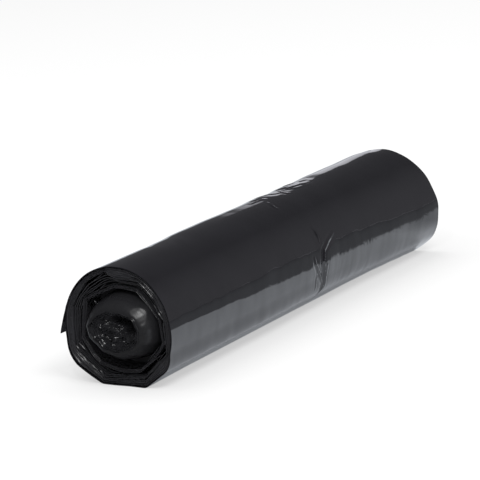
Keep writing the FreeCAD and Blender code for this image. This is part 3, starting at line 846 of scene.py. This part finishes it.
def wind_loose_turns(name, start_angle, set_in, seed):
    """One web of film wound inwards through the gap between the two bundles of turns."""
    size = sizes()
    rest = size.rest_height / MM
    deep = size.near_depth / MM + 1
    count = round(LOOSE_TURNS * 360 / LOOSE_STEP)

    def place(column, row):
        turn = LOOSE_TURNS * row / count
        angle = start_angle + row * LOOSE_STEP
        unevenness = noise.noise(Vector((turn * 1.7, angle / 34, seed)))
        edge = set_in + 0.7 * turn + 0.8 * noise.noise(Vector((angle / 27, turn * 1.3, seed + 4)))
        share = column / LOOSE_COLUMNS
        depth = mix(max(0.15, edge + 0.5 * unevenness), deep, share)
        flare = 0.6 * noise.noise(Vector((angle / 19, turn * 2.1, seed + 9))) * (1 - share) ** 2
        y, z = polar(loose_radius(turn, angle) + 0.4 * unevenness + flare, angle)
        return near_face(z) + depth, y, z + rest

    piece = add_sheet(name, LOOSE_COLUMNS, count, place)
    face_outwards(piece, axis_point())
    thicken(piece, size.film_thickness, 0.0)
    finish_piece(piece, film("loose film"), 60)


def add_edge_folds():
    """Short folded film edges that stand out between the turns, each a slim pointed ridge."""
    rest = sizes().rest_height / MM
    sides = 4
    steps = 12
    folds = []
    for number, (start, end, set_in, half_width) in enumerate(EDGE_FOLDS):
        length = math.hypot(end[0] - start[0], end[1] - start[1])
        across = ((start[1] - end[1]) / length, (end[0] - start[0]) / length)

        def place(column, row):
            share = row / steps
            thick = half_width * max(0.02, math.sin(math.pi * share)) ** 0.5
            bow = 0.35 * math.sin(math.pi * share) * noise.noise(Vector((number * 3.7, share * 2, 1)))
            turned = math.radians(360 * column / sides)
            aside = bow + thick * math.sin(turned)
            y = mix(start[0], end[0], share) + across[0] * aside
            z = mix(start[1], end[1], share) + across[1] * aside
            return near_face(z) + set_in - thick * math.cos(turned), y, z + rest

        fold = add_sheet(f"edge_fold_{number}", sides, steps, place)
        merge_seams(fold)
        folds.append(fold)
    deselect()
    for fold in folds:
        fold.select_set(True)
    bpy.context.view_layer.objects.active = folds[0]
    bpy.ops.object.join()
    folds[0].name = "near_edge_folds"
    finish_piece(folds[0], film("loose film"), 30)


class BAGROLL_OT_near_turns(bpy.types.Operator):
    """Winds the two bundles of creased turns at the nose end, and the loose ones between them"""

    bl_idname = "bag_roll.near_turns"
    bl_label = "Nose End Turns"

    def execute(self, context):
        section = section_at(-half_length())
        below = sizes().wrap_thickness / MM + UNDER_WRAP

        def outer_edge(angle):
            return outline(angle, section) - below

        def outer_inside(angle):
            return min(ring_radius(LOOSE_TURN, angle), outer_edge(angle) - 1.0)

        def inner_outside(angle):
            return ring_radius(INNER_TURN, angle) + 1.8

        def inner_inside(angle):
            return ring_radius(INNER_TURN, angle)

        add_bundle("near_outer_bundle", outer_edge, outer_inside, 0.2, 0.5, 4, 1.0)
        add_bundle("near_inner_bundle", inner_outside, inner_inside, 1.9, 0.9, 3, 5.0)
        wind_loose_turns("near_loose_turns", 80.0, 0.8, 7.0)
        add_edge_folds()
        return {"FINISHED"}


def ridge_height(y, z, start, end, half_width=0.5):
    """A sharp fold between two places of the mouth: 1 on its ridge, nothing well away from it."""
    way_y, way_z = end[0] - start[0], end[1] - start[1]
    off_y, off_z = y - start[0], z - start[1]
    share = min(1.0, max(0.0, (off_y * way_y + off_z * way_z) / (way_y**2 + way_z**2)))
    distance = math.hypot(off_y - way_y * share, off_z - way_z * share)
    return math.exp(-distance / half_width)


def mouth_rim(turned):
    """The crushed mouth's edge at an angle about the mouth, across and up from the winding axis."""
    wobble = 1 + sum(height * math.sin(number * turned + shift) for height, number, shift in MOUTH_WAVES)
    across = MOUTH_WIDTH * math.cos(turned) * wobble + NOSE_MIDDLE[0]
    return across, MOUTH_HEIGHT * math.sin(turned) * wobble + NOSE_MIDDLE[1]


def nose_side(turned, share, root, tip):
    """A point on the outside of the nose, from its root to the mouth's edge, with a patch pressed flat."""
    rim_y, rim_z = mouth_rim(turned)
    way = math.sin(share * math.pi / 2)
    narrowed = 1 - math.cos(share * math.pi / 2)
    out_y, out_z = math.cos(turned), math.sin(turned)
    wrinkle = noise.noise(Vector((out_y * 2.4, out_z * 2.4, way * 1.1 + 3)))
    gather = noise.noise(Vector((out_y * 7, out_z * 7, way * 1.6 + 8)))
    lift = 0.5 * wrinkle + 0.7 * gather * narrowed**2
    y = mix(NOSE_WIDTH * out_y + NOSE_MIDDLE[0], rim_y, narrowed) + out_y * lift
    z = mix(NOSE_HEIGHT * out_z + NOSE_MIDDLE[1], rim_z, narrowed) + out_z * lift
    spot = Vector((mix(root, tip, way), y, z))
    pressed = Vector(PRESSED_WAY).normalized()
    proud = pressed.dot(spot - Vector(PRESSED_POINT))
    if proud > 0:
        dent = noise.noise(spot / 4.1) + 0.5 * noise.noise(spot / 1.7)
        spot -= pressed * (proud * PRESSED_SHARE + PRESSED_DENTS * dent * smooth(proud))
    return spot


def mouth_sink(y, z, turn, share):
    """How far the mouth goes in at a place, with its lip, film edges, folds and crumples and one deep pit."""
    lip = math.sqrt(max(0.0, 1 - share)) if share > LIP_START else LIP_DEPTH
    films = MOUTH_FILM_HEIGHT * math.sin(2 * math.pi * (share * MOUTH_FILMS + turn))
    films *= smooth((share - 0.62) / 0.2)
    folds = noise.ridged_multi_fractal(Vector((y / 8.5 + 3.1, z / 6.0 + 1.7, 2.2)), 0.9, 2.1, 4, 0.95, 2.0)
    crumple = noise.noise(Vector((y / 2.7, z / 2.3, 5.0)))
    ridges = sum(height * ridge_height(y, z, start, end) for start, end, height in MOUTH_FOLDS)
    depth = MOUTH_DEPTH - MOUTH_FOLD_HEIGHT * (folds - 0.9) + MOUTH_CRUMPLE * crumple - MOUTH_RIDGE * ridges
    pit_angle = math.degrees(math.atan2(z - NOSE_MIDDLE[1], y - NOSE_MIDDLE[0])) % 360
    pit = smooth((pit_angle - PIT_START) / 22) * smooth((PIT_END - pit_angle) / 18)
    pit *= smooth((share - 0.34) / 0.16) * smooth((0.9 - share) / 0.1)
    return -lip + films + smooth((0.93 - share) / 0.28) * depth + PIT_DEPTH * pit


class BAGROLL_OT_nose(bpy.types.Operator):
    """Shapes the inner bundle that has slid out, with its crushed mouth"""

    bl_idname = "bag_roll.nose"
    bl_label = "Crushed Nose"

    def execute(self, context):
        size = sizes()
        rest = size.rest_height / MM
        tip = -half_length() - size.nose_reach / MM
        root = -half_length() + size.near_depth / MM + 1
        around = 220
        outside = 46
        inside = 64

        def place(column, row):
            turned = math.radians(360 * column / around)
            if row <= outside:
                x, y, z = nose_side(turned, row / outside, root, tip)
                return x, y, z + rest
            share = 1 - (row - outside) / inside
            rim_y, rim_z = mouth_rim(turned)
            y = mix(NOSE_MIDDLE[0], rim_y, share)
            z = mix(NOSE_MIDDLE[1], rim_z, share)
            return tip + mouth_sink(y, z, column / around, share), y, z + rest

        piece = add_sheet("nose_bundle", around, outside + inside, place)
        merge_seams(piece)
        finish_piece(piece, film("crumpled film"), 55)
        piece.data.materials.append(film("glossy crumpled film"))
        for face in piece.data.polygons:
            across = (face.center.y / MM - NOSE_MIDDLE[0]) / MOUTH_WIDTH
            up = (face.center.z / MM - rest - NOSE_MIDDLE[1]) / MOUTH_HEIGHT
            if math.hypot(across, up) < 0.96:
                face.material_index = 1
        return {"FINISHED"}


class BAGROLL_OT_far_end(bpy.types.Operator):
    """Winds the turns at the other end, with the inner bundle set back"""

    bl_idname = "bag_roll.far_end"
    bl_label = "Far End"

    def execute(self, context):
        size = sizes()
        rest = size.rest_height / MM
        deep = size.far_depth / MM + 1
        section = section_at(half_length())
        below = size.wrap_thickness / MM + UNDER_WRAP

        def outer_edge(angle):
            return outline(angle, section) - below

        def inner_edge(angle):
            return FAR_TURNS_RADIUS

        add_bundle("far_turns", outer_edge, inner_edge, 0.3, 1.4, 9, 21.0, side=1)
        around = 160
        rings = 70
        rim_share = 1 - FAR_BUNDLE_RIM

        def place(column, row):
            share = 1 - row / rings
            angle = 360 * column / around
            turned = math.radians(angle)
            rim = FAR_BUNDLE_RADIUS * (1 + 0.02 * math.sin(3 * turned) + 0.012 * math.sin(7 * turned + 1))
            y, z = polar(rim * share, angle)
            films = 0.3 * math.sin(2 * math.pi * (share * FAR_BUNDLE_FILMS - column / around))
            folds = noise.ridged_multi_fractal(Vector((y / 7, z / 5, 9.2)), 0.9, 2.1, 3, 0.95, 2.0)
            depth = FAR_BUNDLE_DEPTH + films + smooth((0.34 - share) / 0.3) * (3.0 - 1.2 * folds)
            if share > FAR_BUNDLE_RIM:
                depth = mix(depth, deep, (share - FAR_BUNDLE_RIM) / rim_share)
            return far_face(y) - depth, y, z * FAR_BUNDLE_FLATNESS + rest

        bundle = add_sheet("far_bundle", around, rings, place)
        merge_seams(bundle)
        finish_piece(bundle, film("crumpled film"), 55)
        return {"FINISHED"}


def painted_shadow_whiteness(tree, x, y):
    """How white the table top looks: a painted shadow, a little grey beside the roll, and white well away
    from it.
    """
    squares = []
    for place, half in zip((x, y), PAINTED_SHADOW_BOX):
        past = reckon(tree, "MAXIMUM", reckon(tree, "SUBTRACT", reckon(tree, "ABSOLUTE", place), half), 0)
        squares.append(reckon(tree, "MULTIPLY", past, past))
    away = reckon(tree, "SQRT", reckon(tree, "ADD", *squares))
    return mapped(tree, away, 0, PAINTED_SHADOW_REACH, PAINTED_SHADOW_LEVEL, curve="SMOOTHERSTEP")


def mirrored_level(tree, x, y):
    """How bright the film mirrors the table top: dark past a ragged edge in front, and past both ends."""
    slanting = reckon(tree, "ADD", x, reckon(tree, "MULTIPLY", y, MIRROR_SLANT))
    inputs = {"W": slanting, "Scale": 300, "Detail": 4, "Roughness": 0.6}
    wander = add_node(tree, "TexNoise", inputs, noise_dimensions="1D").outputs["Fac"]
    ragged = reckon(tree, "MULTIPLY", reckon(tree, "SUBTRACT", wander, 0.5), MIRROR_RAGGED)
    beyond = reckon(tree, "MAXIMUM", reckon(tree, "ADD", x, 0.015), 0.006)
    outwards = mapped(tree, x, 0.05, 0.19, 0, MIRROR_FAR_EDGE, "SMOOTHSTEP")
    out_there = reckon(tree, "ADD", outwards, reckon(tree, "DIVIDE", MIRROR_BEND, beyond))
    edge = reckon(tree, "SUBTRACT", MIRROR_EDGE, out_there)
    behind = reckon(tree, "ADD", reckon(tree, "SUBTRACT", y, edge), ragged)
    reach = mapped(tree, behind, -MIRROR_SOFTNESS, MIRROR_SOFTNESS, MIRROR_DARK)
    past_nose = mapped(tree, x, -0.152, -0.146, 0.05)
    past_end = mapped(tree, x, 0.16, 0.20, 1, 0.6)
    lit = reckon(tree, "MAXIMUM", reckon(tree, "MULTIPLY", reach, past_end), MIRROR_DARK)
    return reckon(tree, "MULTIPLY", lit, past_nose)


def floor_material():
    """A white table top that keeps the roll's soft shadow, with a painted shadow round it, and ends in the
    dark in front of it.
    """
    material = bpy.data.materials.new("white table top")
    material.use_nodes = True
    material.cycles.emission_sampling = "NONE"
    tree = material.node_tree
    tree.nodes.clear()
    path = add_node(tree, "LightPath").outputs
    place = add_node(tree, "SeparateXYZ", {"Vector": add_node(tree, "TexCoord").outputs["Object"]}).outputs

    paint = add_node(tree, "BsdfDiffuse", {"Color": (*look().floor_colour, 1)}).outputs["BSDF"]
    # Painted shadow: the glow that the camera sees greys a little beside the roll.
    painted_shadow_glow = add_node(tree, "Emission", {"Strength": painted_shadow_whiteness(tree, place["X"], place["Y"])})
    shown = mixed_shaders(tree, 0.6, paint, painted_shadow_glow.outputs["Emission"])

    level = mirrored_level(tree, place["X"], place["Y"])
    inputs = {"Factor": 1, "A": level, "B": (*look().mirrored_colour, 1)}
    tinted = add_node(tree, "Mix", inputs, data_type="RGBA", blend_type="MULTIPLY").outputs["Result"]
    shaded = add_node(tree, "BsdfDiffuse", {"Color": tinted}).outputs["BSDF"]
    lit = add_node(tree, "Emission", {"Color": tinted, "Strength": look().mirrored_light}).outputs["Emission"]
    mirrored = add_node(tree, "AddShader", {0: shaded, 1: lit}).outputs["Shader"]

    seen = reckon(tree, "MAXIMUM", path["Is Camera Ray"], path["Is Transmission Ray"])
    plain = mixed_shaders(tree, seen, paint, shown)
    final = mixed_shaders(tree, path["Is Glossy Ray"], plain, mirrored)
    add_node(tree, "OutputMaterial", {"Surface": final})
    return material


def light_room():
    """A white room to look at, and for the film's gloss a dim room with a white wall low behind."""
    world = bpy.data.worlds.new("studio room")
    bpy.context.scene.world = world
    world.use_nodes = True
    world.cycles.sampling_method = "NONE"
    tree = world.node_tree
    tree.nodes.clear()
    path = add_node(tree, "LightPath").outputs
    way = add_node(tree, "SeparateXYZ", {"Vector": add_node(tree, "TexCoord").outputs["Generated"]}).outputs

    wall = mapped(tree, reckon(tree, "ARCTAN2", way["Z"], way["Y"]), *WALL_RISE)
    along = mapped(tree, way["X"], *WALL_EDGE)
    dimmest, brightest = (look().dim_room * share for share in FRONT_LIGHT)
    side = mapped(tree, way["Y"], -0.1, -0.56, dimmest, brightest)
    ahead = mapped(tree, way["X"], -0.1, 0.5, 0.3)
    corner = reckon(tree, "MULTIPLY_ADD", wall, along, reckon(tree, "MULTIPLY", side, ahead))

    room, white, gloss = (
        add_node(tree, "Background", {"Color": colour, "Strength": strength}).outputs["Background"]
        for colour, strength in (
            ((1, 1, 1, 1), look().room_light),
            ((1, 1, 1, 1), 1),
            ((0.93, 0.93, 1, 1), corner),
        )
    )
    seen = mixed_shaders(tree, path["Is Camera Ray"], room, white)
    final = mixed_shaders(tree, path["Is Glossy Ray"], seen, gloss)
    add_node(tree, "OutputWorld", {"Surface": final})


def add_lamp(name, direction, distance, width, height, power_share, mirrored):
    deselect()
    way = Vector(direction).normalized()
    bpy.ops.object.light_add(type="AREA", location=way * distance + axis_point())
    lamp = bpy.context.object
    lamp.name = name
    lamp.rotation_euler = way.to_track_quat("Z", "Y").to_euler()
    lamp.data.shape = "RECTANGLE"
    lamp.data.size = width
    lamp.data.size_y = height
    lamp.data.energy = look().lamp_power * power_share
    lamp.visible_glossy = mirrored


def place_camera():
    """Stands where the photograph was taken, turned a little about its own line of sight."""
    azimuth = math.radians(CAMERA_AZIMUTH)
    elevation = math.radians(CAMERA_ELEVATION)
    target = axis_point() + Vector(CAMERA_TARGET) * MM
    level = math.cos(elevation)
    back = Vector((math.sin(azimuth) * level, -math.cos(azimuth) * level, math.sin(elevation)))
    deselect()
    bpy.ops.object.camera_add(location=target + back * CAMERA_DISTANCE)
    camera = bpy.context.object
    camera.name = "camera"
    camera.data.lens = CAMERA_LENS
    camera.data.sensor_width = 36
    camera.rotation_mode = "QUATERNION"
    rolled = Quaternion((0, 0, 1), -math.radians(CAMERA_ROLL))
    camera.rotation_quaternion = back.to_track_quat("Z", "Y") @ rolled
    bpy.context.scene.camera = camera


class BAGROLL_OT_stage(bpy.types.Operator):
    """Sets the white table top, the soft lamps, the room and the camera"""

    bl_idname = "bag_roll.stage"
    bl_label = "Stage"

    def execute(self, context):
        deselect()
        bpy.ops.mesh.primitive_plane_add(size=20)
        floor = bpy.context.object
        floor.name = "floor"
        floor.data.materials.append(floor_material())
        light_room()
        for lamp in LAMPS:
            add_lamp(*lamp)
        place_camera()
        bpy.context.scene.view_settings.view_transform = "Standard"
        return {"FINISHED"}


class BAGROLL_PT_panel(bpy.types.Panel):
    """Lists the roll's pieces and their sizes"""

    bl_idname = "BAGROLL_PT_panel"
    bl_label = "Bin Bag Roll"
    bl_space_type = "VIEW_3D"
    bl_region_type = "UI"
    bl_category = "Bag Roll"

    def draw(self, context):
        layout = self.layout
        for group in (sizes(), look()):
            for name in group.__annotations__:
                layout.prop(group, name)
        for operator in OPERATORS:
            layout.operator(operator.bl_idname)


OPERATORS = (
    BAGROLL_OT_outer_turn,
    BAGROLL_OT_tight_turns,
    BAGROLL_OT_near_turns,
    BAGROLL_OT_nose,
    BAGROLL_OT_far_end,
    BAGROLL_OT_stage,
)
CLASSES = (BagRollSizes, BagRollLook, *OPERATORS, BAGROLL_PT_panel)


def register():
    for item in CLASSES:
        bpy.utils.register_class(item)
    bpy.types.Scene.bag_roll_sizes = bpy.props.PointerProperty(type=BagRollSizes)
    bpy.types.Scene.bag_roll_look = bpy.props.PointerProperty(type=BagRollLook)


def unregister():
    del bpy.types.Scene.bag_roll_look
    del bpy.types.Scene.bag_roll_sizes
    for item in reversed(CLASSES):
        bpy.utils.unregister_class(item)


def main():
    register()
    bpy.ops.bag_roll.outer_turn()
    bpy.ops.bag_roll.tight_turns()
    bpy.ops.bag_roll.near_turns()
    bpy.ops.bag_roll.nose()
    bpy.ops.bag_roll.far_end()
    bpy.ops.bag_roll.stage()


if __name__ == "__main__":
    main()
